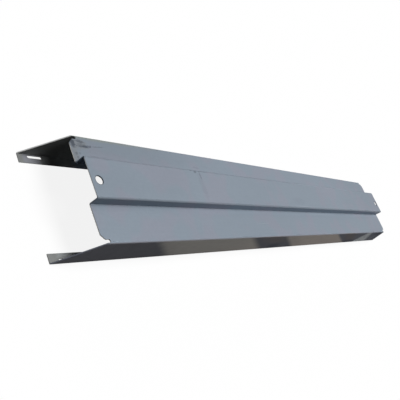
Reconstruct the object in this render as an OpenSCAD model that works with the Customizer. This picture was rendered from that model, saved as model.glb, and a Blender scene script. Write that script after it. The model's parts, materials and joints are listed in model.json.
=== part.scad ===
// Pressed steel lintel: one galvanised sheet folded into a lipped channel, with an offset stiffening
// rib along its web. It lies on its two lips with the web up and its length along X. The origin is on
// the floor, under the middle of the length and of the width. Both ends are alike.

/* [Channel] */
// Length from lip tip to lip tip
overall_l = 1100; // [600:10:2400]
// Width over the outer faces of the two flanges
overall_w = 150; // [140:1:200]
// Height from the underside of the lips to the top of the web's low bands
flange_h = 54; // [44:1:90]
// Width of each lip, from the outer face of its flange
lip_w = 13.5; // [12:0.5:24]

/* [Sheet] */
// Thickness of the sheet
sheet_t = 1.5; // [1:0.1:2]
// Inside radius of every bend
bend_r = 0.8; // [0.6:0.1:2]

/* [Rib] */
// Width over the outer faces of the rib's two sides
rib_w = 58; // [44:1:64]
// Height of the rib's top above the low bands
rib_h = 15.5; // [8:0.5:24]
// Width of the low band on the -Y side, from the flange's outer face to the rib's side
front_band_w = 52; // [44:1:58]

/* [End cuts] */
// How far each lip reaches past the end of the web
lip_overhang = 38; // [32:1:60]
// How far in from the web's end the flange's slanted cut meets the fold
cut_back = 8.5; // [4:0.5:10]
// Leg of the bevel on each corner of the web
corner_bevel = 6; // [2:0.5:8]
// Width of the relief notch that frees each web corner from its flange
relief_w = 4.5; // [3:0.5:8]
// Depth of the relief notch, from the web's end to its round tip
relief_l = 13; // [12:0.5:24]

/* [Bolt holes] */
// Diameter of the hole at each end of the rib
bolt_d = 12; // [8:0.5:14]
// Distance from the web's end to the centre of the hole
bolt_inset = 12; // [10:0.5:40]
// Distance from the rib's -Y side to the centre of the hole
bolt_offset = 25; // [16:0.5:28]

/* [Lip slots] */
// Length of each slot from end to end
slot_l = 22; // [12:0.5:26]
// Width of each slot
slot_w = 4; // [3:0.1:6]
// Distance from the web's end out to the slot's centre
slot_out = 13; // [12:0.5:18]
// Flat metal left between the slot and the bend beside it
slot_margin = 0.1; // [0.1:0.1:2]

/* [Hidden] */
// Number of sides drawn on a full circle
$fn = 64;
// How far a cut runs past the metal that it opens
past = 1;
// Outside radius of a bend, which is also how far it takes up each flat beside it
bend_out = bend_r + sheet_t;
// Outer face of the +Y flange, and the inner face of the same sheet
flange_y = overall_w / 2;
inner_y = flange_y - sheet_t;
// Outer faces of the rib's two sides
rib_y0 = front_band_w - flange_y;
rib_y1 = rib_y0 + rib_w;
// Highest face of the part
top_z = flange_h + rib_h;
// Tip of the lips, end of the web, and the point where the slanted cut meets the fold, at the +X end
tip_x = overall_l / 2;
web_x = tip_x - lip_overhang;
fold_x = web_x - cut_back;
// Inner side of the relief notch, where the bevel starts
relief_y = inner_y - relief_w;
// Centre line of the lip slots
slot_y = flange_y - bend_out - slot_margin - slot_w / 2;

// Corners of the section's outer face, as [y, z], from one lip's edge round to the other's
SECTION = [
    [lip_w - flange_y, 0],
    [-flange_y, 0],
    [-flange_y, flange_h],
    [rib_y0, flange_h],
    [rib_y0, top_z],
    [rib_y1, top_z],
    [rib_y1, flange_h],
    [flange_y, flange_h],
    [flange_y, 0],
    [flange_y - lip_w, 0]
];
LAST = len(SECTION) - 1;

// Direction of the flat that starts at corner i
function run(i) = (SECTION[i + 1] - SECTION[i]) / norm(SECTION[i + 1] - SECTION[i]);

// A bend turns the section towards its inner side, except at the rib's two feet, which turn outwards
function turns_in(i) = cross(run(i - 1), run(i)) < 0;

// How much of each neighbouring flat the bend at corner i takes, measured on the outer face
function setback(i) = i == 0 || i == LAST ? 0 : turns_in(i) ? bend_out : bend_r;

// The lowest y and z of a square that grows from the origin along v
function low(v, size) = [min(v.x, 0), min(v.y, 0)] * size;

// The straight stretch of sheet between corner i and the next, inside the outer face
module flat(i) {
    start = SECTION[i] + run(i) * setback(i);
    end = SECTION[i + 1] - run(i) * setback(i + 1);
    inner = [run(i).y, -run(i).x] * sheet_t;
    polygon([start, start + inner, end + inner, end]);
}

// The quarter ring of sheet at corner i
module bend(i) {
    away = run(i) - run(i - 1);
    translate(SECTION[i] + away * setback(i))
        intersection() {
            difference() {
                circle(r = bend_out);
                circle(r = bend_r);
            }
            translate(low(-away, bend_out)) square(bend_out);
        }
}

// The folded sheet at its full length, before its ends are cut
module folded_sheet() {
    rotate([90, 0, 90])
        linear_extrude(overall_l, center = true) {
            for (i = [0 : LAST - 1]) flat(i);
            for (i = [1 : LAST - 1]) bend(i);
        }
}

// What is cut from above at the +X end: the web back to its end, its bevelled corners and the two
// round-ended relief notches, each of which runs along the inner face of its flange
module web_end_cut() {
    out_x = tip_x + past;
    notch_r = relief_w / 2;
    translate([0, 0, flange_h - bend_out - past])
        linear_extrude(rib_h + bend_out + 2 * past) {
            polygon([
                [web_x - corner_bevel, -relief_y],
                [web_x, corner_bevel - relief_y],
                [web_x, relief_y - corner_bevel],
                [web_x - corner_bevel, relief_y],
                [web_x - corner_bevel, inner_y],
                [out_x, inner_y],
                [out_x, -inner_y],
                [web_x - corner_bevel, -inner_y]
            ]);
            for (side = [-1, 1])
                translate([web_x - relief_l + notch_r, side * (inner_y - notch_r)]) {
                    circle(r = notch_r);
                    translate([0, -notch_r]) square([relief_l, relief_w]);
                }
        }
}

// The slanted cut of both flanges at the +X end, from the tip of the lips up to the fold
module flange_end_cut() {
    for (side = [-1, 1])
        translate([0, side * flange_y, 0])
            rotate([90, 0, 0])
                linear_extrude(2 * sheet_t, center = true)
                    polygon([
                        [tip_x + past, bend_out],
                        [tip_x, bend_out],
                        [fold_x, flange_h],
                        [fold_x, flange_h + past],
                        [tip_x + past, flange_h + past]
                    ]);
}

// The bolt hole through the rib's top at the +X end
module bolt_hole() {
    translate([web_x - bolt_inset, rib_y0 + bolt_offset, top_z - sheet_t - past])
        cylinder(h = sheet_t + 2 * past, d = bolt_d);
}

// The slot through each lip at the +X end
module lip_slots() {
    reach = (slot_l - slot_w) / 2;
    for (side = [-1, 1])
        translate([web_x + slot_out, side * slot_y, -past]) {
            for (end = [-1, 1])
                translate([end * reach, 0, 0]) cylinder(h = sheet_t + 2 * past, d = slot_w);
            translate([-reach, -slot_w / 2, 0]) cube([2 * reach, slot_w, sheet_t + 2 * past]);
        }
}

// The whole lintel, which is one piece of sheet
module lintel() {
    color("lightslategray")
        difference() {
            folded_sheet();
            for (end = [0, 1])
                mirror([end, 0, 0]) {
                    web_end_cut();
                    flange_end_cut();
                    bolt_hole();
                    lip_slots();
                }
        }
}

lintel();
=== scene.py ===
import json
from math import pi, radians

import bmesh
import bpy
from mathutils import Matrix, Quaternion, Vector


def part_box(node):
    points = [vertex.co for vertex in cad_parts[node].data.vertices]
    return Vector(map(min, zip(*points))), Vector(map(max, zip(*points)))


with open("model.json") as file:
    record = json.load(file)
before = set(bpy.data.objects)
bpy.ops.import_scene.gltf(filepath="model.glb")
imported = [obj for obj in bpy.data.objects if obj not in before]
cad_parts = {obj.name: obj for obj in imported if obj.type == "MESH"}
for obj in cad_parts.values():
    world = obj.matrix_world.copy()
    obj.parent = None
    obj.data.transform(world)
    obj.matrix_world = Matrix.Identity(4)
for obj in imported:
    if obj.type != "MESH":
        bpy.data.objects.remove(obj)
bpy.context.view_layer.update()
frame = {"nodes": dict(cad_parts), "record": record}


# The lintel: one sheet of hot-dip galvanised steel, 1.5 mm thick, roll-formed into a lipped channel with
# a stiffening rib along its web, then sheared at its ends. The zinc has dulled to an even blue-grey. It
# carries scuffs and smears at its -X end, a brown film on its -Y flange, and bare steel on its cut edges.
class Shade:
    """One value of a finish. Python's own signs on it add the maths nodes."""

    def __init__(self, tree, socket=None):
        self.tree = tree
        self.socket = socket

    def node(self, kind, settings=None, values=None, output=0):
        """Adds a node of this kind, gives its inputs these values or links, and returns one output."""
        made = self.tree.nodes.new(kind)
        for name, setting in (settings or {}).items():
            setattr(made, name, setting)
        for name, value in (values or {}).items():
            if isinstance(value, Shade):
                self.tree.links.new(value.socket, made.inputs[name])
            else:
                made.inputs[name].default_value = value
        return None if output is None else Shade(self.tree, made.outputs[output])

    def maths(self, operation, *values):
        return self.node("ShaderNodeMath", {"operation": operation}, dict(enumerate(values)))

    def __add__(self, other):
        return self.maths("ADD", self, other)

    def __sub__(self, other):
        return self.maths("SUBTRACT", self, other)

    def __rsub__(self, other):
        return self.maths("SUBTRACT", other, self)

    def __mul__(self, other):
        return self.maths("MULTIPLY", self, other)

    __radd__ = __add__
    __rmul__ = __mul__

    def ramp(self, start, end):
        """0 up to start and 1 from end, with a soft change between. It falls where end is below start."""
        return self.node(
            "ShaderNodeMapRange",
            {"interpolation_type": "SMOOTHSTEP"},
            {"Value": self, "From Min": start, "From Max": end},
        )

    def between(self, low, high, soft):
        """1 between these two values and 0 outside them, with soft borders."""
        return self.ramp(low - soft, low + soft) * self.ramp(high + soft, high - soft)

    def mix(self, first, second):
        """A colour: first where this value is 0, second where it is 1."""
        return self.node(
            "ShaderNodeMix",
            {"data_type": "RGBA"},
            {0: self, 6: first, 7: second},
            output=2,
        )


lintel = frame["nodes"]["lintel"]
zinc = bpy.data.materials.new("galvanised_steel")
zinc.use_nodes = True
zinc.node_tree.nodes.clear()
steel = Shade(zinc.node_tree)
place = steel.node("ShaderNodeTexCoord", output="Object")
along, across, height = (
    steel.node("ShaderNodeSeparateXYZ", {}, {"Vector": place}, axis) for axis in ("X", "Y", "Z")
)
from_middle = steel.maths("ABSOLUTE", along)
from_axis = steel.maths("ABSOLUTE", across)

# Where the sheet's faces lie, in metres, taken from the solid's own corners. BEND is the outer radius of
# its bends. A point within SKIN of a face counts as on it, and HAIR softens the border of a cut edge.
SHEET = 0.0015
BEND = 0.0023
SKIN = 0.0004
HAIR = 0.00005
LIP_TIP, FLANGE_FACE, RIB_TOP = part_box("lintel")[1]
corners = [vertex.co for vertex in lintel.data.vertices]
WEB_TOP = max(corner.z for corner in corners if corner.y < -FLANGE_FACE / 2)
rib_corners = [corner for corner in corners if corner.z > WEB_TOP + BEND]
RIB_FRONT = min(corner.y for corner in rib_corners)
RIB_BACK = max(corner.y for corner in rib_corners)
WEB_END = max(corner.x for corner in rib_corners)


def noise(vector, scale, detail=2.0, roughness=0.5):
    """Noise from -0.5 to 0.5."""
    cloud = steel.node(
        "ShaderNodeTexNoise",
        {},
        {"Vector": vector, "Scale": scale, "Detail": detail, "Roughness": roughness},
    )
    return cloud - 0.5


def stretched(scale):
    """The place on the lintel, scaled apart along its axes."""
    return steel.node("ShaderNodeMapping", {}, {"Vector": place, "Scale": scale})


def shaded(colour, amount):
    """The colour made lighter or darker by this factor."""
    return steel.node("ShaderNodeVectorMath", {"operation": "SCALE"}, {0: colour, "Scale": amount})


# The dulled zinc: nearly even, with faint clouds, the drawn-out grain of the rolls, small crystals and
# a fine dapple. It turns a little warmer and cooler from place to place, and the rib and the +Y band are
# darker towards both ends. The rib's -Y side carries painted light that grows towards +X, a painted shade
# on its upper bend, and a painted light on the web at its foot that lifts the shade beside the rib.
COOL_ZINC = (0.252, 0.297, 0.350, 1)
WARM_ZINC = (0.267, 0.293, 0.349, 1)
clouds = noise(place, 9.0, 3.0)
grain = noise(stretched((3.0, 150.0, 150.0)), 5.0, 3.0, 0.6)
dapple = noise(place, 240.0)
ragged = noise(place, 90.0, 4.0, 0.65)
flecks = noise(place, 420.0, 3.0, 0.7)
crystal = steel.node("ShaderNodeTexVoronoi", {}, {"Vector": place, "Scale": 330.0}, "Color")
crystal = steel.node("ShaderNodeSeparateColor", {}, {"Color": crystal}) - 0.5
tone = 1 + clouds * 0.06 + grain * 0.06 + dapple * 0.04 + crystal * 0.02
tone = tone - from_middle.ramp(0.20, 0.45) * across.ramp(-0.030, -0.010) * 0.045
tint = noise(place, 22.0, 1.0).ramp(-0.05, 0.1)
colour = shaded(tint.mix(COOL_ZINC, WARM_ZINC), tone)
rib_side_painted_light = across.ramp(RIB_FRONT + 0.0008, RIB_FRONT + SKIN) * height.ramp(WEB_TOP + SKIN, WEB_TOP + 0.0015)
shoulder_painted_shade = across.ramp(RIB_FRONT + 0.0035, RIB_FRONT + 0.0010) * across.ramp(RIB_FRONT - 0.0010, RIB_FRONT)
shoulder_painted_shade = shoulder_painted_shade * height.ramp(RIB_TOP - 0.0030, RIB_TOP - 0.0010)
foot_painted_light = across.between(RIB_FRONT - 0.0060, RIB_FRONT, 0.0060)
foot_painted_light = foot_painted_light * height.ramp(WEB_TOP + 0.0030, WEB_TOP + 0.0010) * along.ramp(-LIP_TIP, -0.20)
# Painted light on the rib's -Y side and beside its foot, painted shade on its upper bend.
colour = shaded(colour, 1 + rib_side_painted_light * along.ramp(-0.45, -0.10) * 0.32 + foot_painted_light * 0.14 - shoulder_painted_shade * 0.22)
metal = 0.15 + dapple * 0.06
rough = 0.31 + clouds * 0.08 + dapple * 0.05 + crystal * 0.03

# Inside the channel the coat is a neutral grey. Painted light makes it paler further in, painted shade
# makes it darker high up at the ends, and a painted reflection of blue sky makes it bluer deep inside and
# under the rib. The +Y lip is a bluer grey near its ends, and the -Y lip's -X end is paler.
INSIDE = (0.235, 0.243, 0.240, 1)
DEEP_INSIDE_PAINTED_REFLECTION = (0.280, 0.315, 0.355, 1)
UNDER_RIB_PAINTED_REFLECTION = (0.175, 0.245, 0.335, 1)
BLUER_LIP_END = (0.265, 0.272, 0.300, 1)
PALER_LIP_END = (0.310, 0.325, 0.330, 1)
rib_hollow = across.between(RIB_FRONT + 0.0007, RIB_BACK - 0.0007, 0.0003)
rib_hollow = rib_hollow * height.ramp(RIB_TOP - SHEET + 0.0010, RIB_TOP - SHEET + SKIN)
below_web = height.ramp(WEB_TOP - SKIN, WEB_TOP - 0.0010)
inside = steel.maths("MAXIMUM", below_web, rib_hollow)
inside = inside * from_axis.ramp(FLANGE_FACE - SHEET * 0.4, FLANGE_FACE - SHEET * 0.8)
lip_top = height.ramp(SHEET + 0.0005, SHEET + 0.0001)
bluer_lip_ends = lip_top * from_middle.between(WEB_END + 0.006, LIP_TIP - 0.007, 0.003) * across.ramp(0, 0.001)
paler_lip_end = lip_top * across.between(-0.067, -0.061, 0.002) * along.between(-0.537, -0.505, 0.004)
deep_painted_reflection = from_middle.ramp(0.472, 0.450)
deeper_painted_light = from_middle.ramp(0.510, 0.470)
high_end_painted_shade = height.ramp(0.008, 0.025) * from_middle.ramp(0.475, 0.495)
# A painted reflection of blue sky deep inside and under the rib.
within = deep_painted_reflection.mix(INSIDE, DEEP_INSIDE_PAINTED_REFLECTION)
within = (rib_hollow * height.ramp(WEB_TOP - 0.004, WEB_TOP - 0.002)).mix(within, UNDER_RIB_PAINTED_REFLECTION)
within = bluer_lip_ends.mix(within, BLUER_LIP_END)
within = paler_lip_end.mix(within, PALER_LIP_END)
# Paler further in is painted light, and darker high up at the ends is painted shade.
colour = inside.mix(colour, shaded(within, tone + deeper_painted_light - high_end_painted_shade * 0.25))

# Marks on the upper faces: a scuffed patch with dark smears at the web's -X, +Y corner, where a hand or a
# hook has lifted it, fine smears along the +Y band, a painted shade along the rib's +Y top edge, the +Y band
# darker towards the -X end, an olive cast towards the -X end, and a few light scratches.
blot_edge = ragged * 1.6 + flecks * 3.5


def blot(x, y, length, width, turn=0.0):
    """1 in the middle of a ragged ellipse of these half sizes in millimetres, turned by so many degrees."""
    spot = steel.node(
        "ShaderNodeMapping",
        {"vector_type": "TEXTURE"},
        {
            "Vector": place,
            "Location": (x / 1000, y / 1000, 0),
            "Rotation": (0, 0, radians(turn)),
            "Scale": (length / 1000, width / 1000, 100),
        },
    )
    reach = steel.node("ShaderNodeVectorMath", {"operation": "DOT_PRODUCT"}, {0: spot, 1: spot}, "Value")
    return (reach + blot_edge).ramp(1.4, 0.2)


SMEARS = (
    # depth, then the middle, the half sizes and the turn
    (0.60, -495, 66.5, 7, 2.2, -8),
    (0.60, -506.5, 62.5, 3.5, 4.5, 0),
    (0.90, -508.5, 65.5, 5.5, 4, 0),
    (0.50, -507.5, 59, 4.5, 3.4, 0),
    (0.60, -494, 59.5, 9, 2, 0),
    (0.35, -495, 62.5, 7, 1.4, 0),
    (0.60, -484, 60, 8, 2.2, 6),
    (0.35, -468, 61.5, 13, 1, 6),
    (0.45, -506, 47.5, 2.5, 2.2, 0),
    (0.30, -500, 48.5, 1.5, 2, 0),
    (0.40, -505.5, 42, 1.5, 3, 0),
    (0.20, -478, 46, 7, 0.8, 0),
    (0.20, -464, 45.5, 10, 0.9, 6),
    (0.35, -301, 34, 5, 2, 0),
    (0.45, -291, 31, 4, 2.5, 0),
    (0.35, -271, 34, 16, 1.2, 0),
    (0.35, -280.5, 26, 1.8, 7.5, 0),
    (0.15, -259, 50, 9, 2, 0),
    (0.08, -284, 7, 6, 24, 0),
    (0.06, 30, -8, 25, 9, 0),
    (0.30, 474, 44.5, 30, 1.5, 0),
    (0.20, 498, 40, 12, 2, 0),
)
SCUFFED = (0.205, 0.222, 0.240, 1)
# The colour of the dark smears, used also for the painted shade along the rib's +Y top edge.
SMEAR_AND_PAINTED_SHADE = (0.060, 0.070, 0.088, 1)
OLIVE = (0.245, 0.270, 0.255, 1)
DARKER_BAND_END = (0.155, 0.180, 0.205, 1)
SCRATCH = (0.33, 0.37, 0.42, 1)
upper = height.ramp(WEB_TOP - 0.0008, WEB_TOP - SKIN)
smears = upper * sum(blot(*spot) * depth for depth, *spot in SMEARS)
scuffed = upper * (blot(-499, 62, 15, 8.5) + blot(-508, 46, 6, 12))
scratches = upper * (blot(168, -28, 64, 0.9) + blot(45, -18.7, 42, 0.9) + blot(-120, -49, 30, 0.5, 2))
darker_band_end = upper * (across + ragged * 0.02).ramp(0.030, 0.055) * (along + ragged * 0.1).ramp(-0.10, -0.50)
# A painted shade along the rib's +Y top edge, fading out towards +X.
rib_edge_painted_shade = (across + ragged * 0.003).between(RIB_BACK - 0.0025, RIB_BACK, 0.0006) * along.ramp(0.05, 0.01)
rib_edge_painted_shade = rib_edge_painted_shade * height.ramp(RIB_TOP - 0.0025, RIB_TOP - 0.0010)
olive = upper * (across + ragged * 0.006).ramp(FLANGE_FACE - 0.0065, FLANGE_FACE - 0.0025)
olive = olive * along.ramp(-0.30, -0.46)
specks = (scuffed + olive) * flecks.ramp(0.05, 0.22)
colour = (darker_band_end * 0.3).mix(colour, DARKER_BAND_END)
colour = (rib_edge_painted_shade * 0.22).mix(colour, SMEAR_AND_PAINTED_SHADE)
colour = (scuffed * 0.9).mix(colour, SCUFFED)
colour = (olive * 0.8).mix(colour, OLIVE)
colour = (specks * 0.4).mix(colour, SMEAR_AND_PAINTED_SHADE)
colour = steel.maths("MINIMUM", smears, 0.85).mix(colour, SMEAR_AND_PAINTED_SHADE)
colour = (scratches * 0.5).mix(colour, SCRATCH)
rough = rough + steel.maths("MINIMUM", smears + scuffed * 0.3, 0.9) * 0.25

# The outer face of the -Y flange carries painted reflections of its surroundings: two pale slanting bands
# with a dark reflection between them that turns brown in places, and a pale streak near the +X end. It is
# darker low down in two places, with a painted shade high up at the +X end. Seen from outside, left is -X.
# The painted reflections are paler towards +X, where they take their FAR_ colours.
PAINTED_DARK_REFLECTION = (0.240, 0.243, 0.272, 1)
FAR_PAINTED_DARK_REFLECTION = (0.34, 0.36, 0.42, 1)
PAINTED_BROWN_REFLECTION = (0.36, 0.32, 0.31, 1)
PAINTED_PALE_REFLECTION = (0.65, 0.63, 0.595, 1)
FAR_PAINTED_PALE_REFLECTION = (0.87, 0.785, 0.72, 1)
PAINTED_STREAK_REFLECTION = (0.92, 0.97, 1.00)
DARK_AND_PAINTED_SHADE = (0.150, 0.160, 0.200, 1)
front = across.ramp(SHEET - FLANGE_FACE - 2 * HAIR, SKIN - FLANGE_FACE)
below_bend = front * height.ramp(WEB_TOP - 0.0005, WEB_TOP - 0.0030)
rise = height - 0.006


def leaning(lean, fraying=0.006):
    """The place along the lintel for a frayed edge that leans this far towards -X for each metre of rise."""
    return along + ragged * fraying + rise * lean


left_reflection_band = leaning(1.30).ramp(-0.362, -0.333) * leaning(1.84).ramp(-0.068, -0.101)
right_reflection_band = leaning(2.08).ramp(0.034, 0.062) * leaning(2.69).ramp(0.331, 0.308)
pale_streak_reflection = leaning(0, 0.02).ramp(0.378, 0.402) * leaning(1.3, 0.02).ramp(0.490, 0.462)
second_streak = leaning(0.5, 0.02).between(0.494, 0.504, 0.006) * height.ramp(0.036, 0.028)
pale_streak_reflection = pale_streak_reflection + second_streak * flecks.ramp(-0.1, 0.1) * 0.35
left_brown_reflection = leaning(1.90, 0.05).between(-0.030, 0.020, 0.05) * height.ramp(0.015, 0.035)
right_brown_reflection = leaning(2.15, 0.05).between(0.330, 0.400, 0.04) * height.ramp(0.006, 0.020)
left_dark_low = along.between(-0.060, -0.020, 0.012) * height.ramp(0.030, 0.012)
right_dark_low = (along + rise * 2.15).between(0.325, 0.385, 0.02) * height.ramp(0.022, 0.010)
end_painted_shade = (along + rise).ramp(0.475, 0.510) * height.ramp(0.030, 0.044)
# Painted reflections over the flange's outer face.
dark_reflection = along.ramp(-0.45, 0.55).mix(PAINTED_DARK_REFLECTION, FAR_PAINTED_DARK_REFLECTION)
dark_reflection = ((left_brown_reflection + right_brown_reflection) * 0.8).mix(dark_reflection, PAINTED_BROWN_REFLECTION)
pale_reflection = along.ramp(-0.30, 0.15).mix(PAINTED_PALE_REFLECTION, FAR_PAINTED_PALE_REFLECTION)
colour = front.mix(colour, shaded(dark_reflection, 1 + ragged * 0.25))
fainter_reflection = leaning(1.30).ramp(-0.280, -0.350) + leaning(2.08).between(0.050, 0.090, 0.03)
pale_reflection = shaded(pale_reflection, 1 + ragged * 0.15 + grain * 0.15 - fainter_reflection * 0.10)
colour = ((left_reflection_band + right_reflection_band) * below_bend).mix(colour, pale_reflection)
colour = (pale_streak_reflection * below_bend).mix(colour, shaded(PAINTED_STREAK_REFLECTION, 1 + ragged * 1.4))
# Darker low down in two places, and a painted shade high up at the +X end.
colour = ((left_dark_low + right_dark_low + end_painted_shade) * front * 0.55).mix(colour, DARK_AND_PAINTED_SHADE)
metal = metal * (1 - front)

# The sheared edges, seen in the thickness of the sheet: bare grey steel on the lips, on the +Y flange's
# slanted cuts and at the web's ends, made paler than bare steel as painted light, and at the web's ends the
# +Y half is painted brightest up to its dark corner. The -Y flange's cuts are dark. The bolt holes' walls
# and a rim around them are painted shade.
BARE_STEEL_WITH_PAINTED_LIGHT = (0.62, 0.62, 0.60)
HOLE_PAINTED_SHADE = (0.025, 0.030, 0.040, 1)

# The slanted cuts meet the folds CUT_BACK in from the web's end. FLANGE_SIDE lies just inside the flanges'
# bends, and RIB_CORNER is the width that one side of the rib takes with its bend.
CUT_BACK = 0.0085
SLANT = (LIP_TIP - WEB_END + CUT_BACK) / (WEB_TOP - BEND)
FLANGE_SIDE = FLANGE_FACE - BEND - 0.0003
RIB_CORNER = 0.0030
bolts = next(mount for mount in frame["record"]["mounts"] if mount["name"] == "rib_bolt_holes")
BOLT_X = bolts["dims"]["spacing_x_mm"] / 2 / 1000
BOLT_Y = bolts["pos_m"][1]
BOLT_RADIUS = bolts["dims"]["hole_r_mm"] / 1000


def thickness(top):
    """1 within the thickness of the sheet whose upper face has this height, and 0 on the face itself."""
    return height.between(top - SHEET + 2 * HAIR, top - 2 * HAIR, HAIR)


between_flanges = from_axis.ramp(FLANGE_SIDE - 2 * HAIR, FLANGE_SIDE - 4 * HAIR)
rib_sides = across.between(RIB_FRONT - 0.0010, RIB_FRONT + RIB_CORNER, 0.0002)
rib_sides = rib_sides + across.between(RIB_BACK - RIB_CORNER, RIB_BACK + 0.0010, 0.0002)
web_wall = thickness(WEB_TOP) * between_flanges * (1 - rib_sides)
rib_wall = thickness(RIB_TOP) * across.between(RIB_FRONT + RIB_CORNER, RIB_BACK - RIB_CORNER, 0.0002)
at_end = from_middle.ramp(WEB_END - 0.0006, WEB_END - 0.0002)
lip_wall = thickness(SHEET) * between_flanges
flange_wall = (from_middle + (height - BEND) * SLANT).ramp(LIP_TIP - 4 * HAIR, LIP_TIP - 2 * HAIR)
back_wall = flange_wall * across.ramp(FLANGE_SIDE, FLANGE_SIDE + 2 * HAIR)
front_wall = flange_wall * across.ramp(-FLANGE_SIDE, -FLANGE_SIDE - 2 * HAIR)
from_hole = steel.node("ShaderNodeCombineXYZ", {}, {"X": from_middle - BOLT_X, "Y": across - BOLT_Y})
from_hole = steel.node("ShaderNodeVectorMath", {"operation": "LENGTH"}, {0: from_hole}, "Value")
hole_rim_painted_shade = upper * from_hole.ramp(BOLT_RADIUS + 0.0012, BOLT_RADIUS + SKIN)
# The web's end is bare steel with painted light, brightest on its +Y half.
web_wall = web_wall * (0.5 + 0.5 * across.ramp(0, 0.001)) * across.ramp(0.064, 0.057)
bare_with_painted_light = web_wall + rib_wall * at_end * 0.5 + lip_wall * 0.45 + back_wall * 0.7
bare_with_painted_light = steel.maths("MINIMUM", 1, bare_with_painted_light)
colour = bare_with_painted_light.mix(colour, shaded(BARE_STEEL_WITH_PAINTED_LIGHT, 1 + ragged * 0.6))
# The bolt holes' walls and a rim around them are painted shade.
colour = (rib_wall * (1 - at_end)).mix(colour, HOLE_PAINTED_SHADE)
colour = (hole_rim_painted_shade * 0.6).mix(colour, HOLE_PAINTED_SHADE)
colour = (front_wall * 0.9).mix(colour, DARK_AND_PAINTED_SHADE)
metal = metal + bare_with_painted_light * 0.45

# The sheet is a little wavy from its rolling, and its grain and its smears stand just proud of it.
ripple = noise(stretched((1.0, 3.0, 3.0)), 12.0, 1.0)
relief = ripple * 0.6 + grain * 0.03 + dapple * 0.02 + smears * 0.02
bump = steel.node("ShaderNodeBump", {}, {"Strength": 0.25, "Distance": 0.0008, "Height": relief})
surface = steel.node(
    "ShaderNodeBsdfPrincipled",
    {},
    {
        "Base Color": colour,
        "Metallic": metal,
        "Roughness": rough,
        "Normal": bump,
        "Specular IOR Level": 0.0,
    },
)
steel.node("ShaderNodeOutputMaterial", {}, {"Surface": surface}, output=None)
lintel.material_slots[0].material = zinc

# The floor: a plain white paper sweep, far wider than the view. It keeps the lintel's shadow, lightened for
# the camera by SHADE_LIFT, and BOUNCE is the share of the light that it throws back on the steel.
SWEEP_RADIUS = 40.0
SHADE_LIFT = 0.88
BOUNCE = 0.2
WHITE = (1, 1, 1, 1)
ring = bmesh.new()
bmesh.ops.create_circle(ring, cap_ends=True, segments=96, radius=SWEEP_RADIUS)
sweep = bpy.data.meshes.new("floor")
ring.to_mesh(sweep)
ring.free()
floor = bpy.data.objects.new("floor", sweep)
bpy.context.scene.collection.objects.link(floor)
paper = bpy.data.materials.new("studio_paper")
paper.use_nodes = True
paper.node_tree.nodes.clear()
ground = Shade(paper.node_tree)
camera_ray = ground.node("ShaderNodeLightPath", output="Is Camera Ray")
diffuse_ray = ground.node("ShaderNodeLightPath", output="Is Diffuse Ray")
thrown_back = diffuse_ray.mix(WHITE, (BOUNCE, BOUNCE, BOUNCE, 1))
matt = ground.node("ShaderNodeBsdfDiffuse", {}, {"Color": thrown_back})
glow = ground.node("ShaderNodeEmission", {}, {"Color": WHITE, "Strength": 1.0})
shown = ground.node("ShaderNodeMixShader", {}, {0: camera_ray * SHADE_LIFT, 1: matt, 2: glow})
ground.node("ShaderNodeOutputMaterial", {}, {"Surface": shown}, output=None)
sweep.materials.append(paper)

# The light: a wide soft lamp almost overhead, a weak fill low on the +Y side, and a white surround that the
# camera and the reflections see at full strength. Together they light a level surface at LEVEL, so a
# colour there renders about as it is written.
LEVEL = 0.99
AMBIENT = 0.05
FILL_SHARE = 0.02
OVERHEAD = Vector((0.27, 0.0, 1.0))
FILL = Vector((0.1, 1.0, 0.22))
for name, to_lamp, share, spread in (
    ("overhead_lamp", OVERHEAD, LEVEL - AMBIENT - FILL_SHARE, 30),
    ("fill_lamp", FILL, FILL_SHARE, 20),
):
    lamp = bpy.data.lights.new(name, "SUN")
    lamp.energy = share * pi / to_lamp.normalized().z
    lamp.angle = radians(spread)
    stand = bpy.data.objects.new(name, lamp)
    stand.rotation_mode = "QUATERNION"
    stand.rotation_quaternion = to_lamp.to_track_quat("Z", "Y")
    bpy.context.scene.collection.objects.link(stand)
surround = bpy.data.worlds.new("surround")
surround.use_nodes = True
surround.node_tree.nodes.clear()
air = Shade(surround.node_tree)
dim = air.node("ShaderNodeLightPath", output="Is Diffuse Ray")
glow = air.node("ShaderNodeBackground", {}, {"Color": WHITE, "Strength": 1 - dim * (1 - AMBIENT)})
air.node("ShaderNodeOutputWorld", {}, {"Surface": glow}, output=None)
bpy.context.scene.world = surround

# The camera: it looks along the lintel from above its -X end and a little to the -Y side, and it is
# rolled over on its side.
EYE = Vector((-0.9577, -0.2589, 0.4794))
AIM = Vector((-0.0744, 0.0686, -0.0776))
ROLL = radians(57.191)
view = bpy.data.cameras.new("camera")
view.sensor_width = 36.0
view.lens = 49.257
view.clip_end = 100.0
camera = bpy.data.objects.new("camera", view)
camera.location = EYE
camera.rotation_mode = "QUATERNION"
camera.rotation_quaternion = (AIM - EYE).to_track_quat("-Z", "Y") @ Quaternion((0, 0, 1), ROLL)
bpy.context.scene.collection.objects.link(camera)
bpy.context.scene.camera = camera
bpy.context.scene.view_settings.view_transform = "Standard"
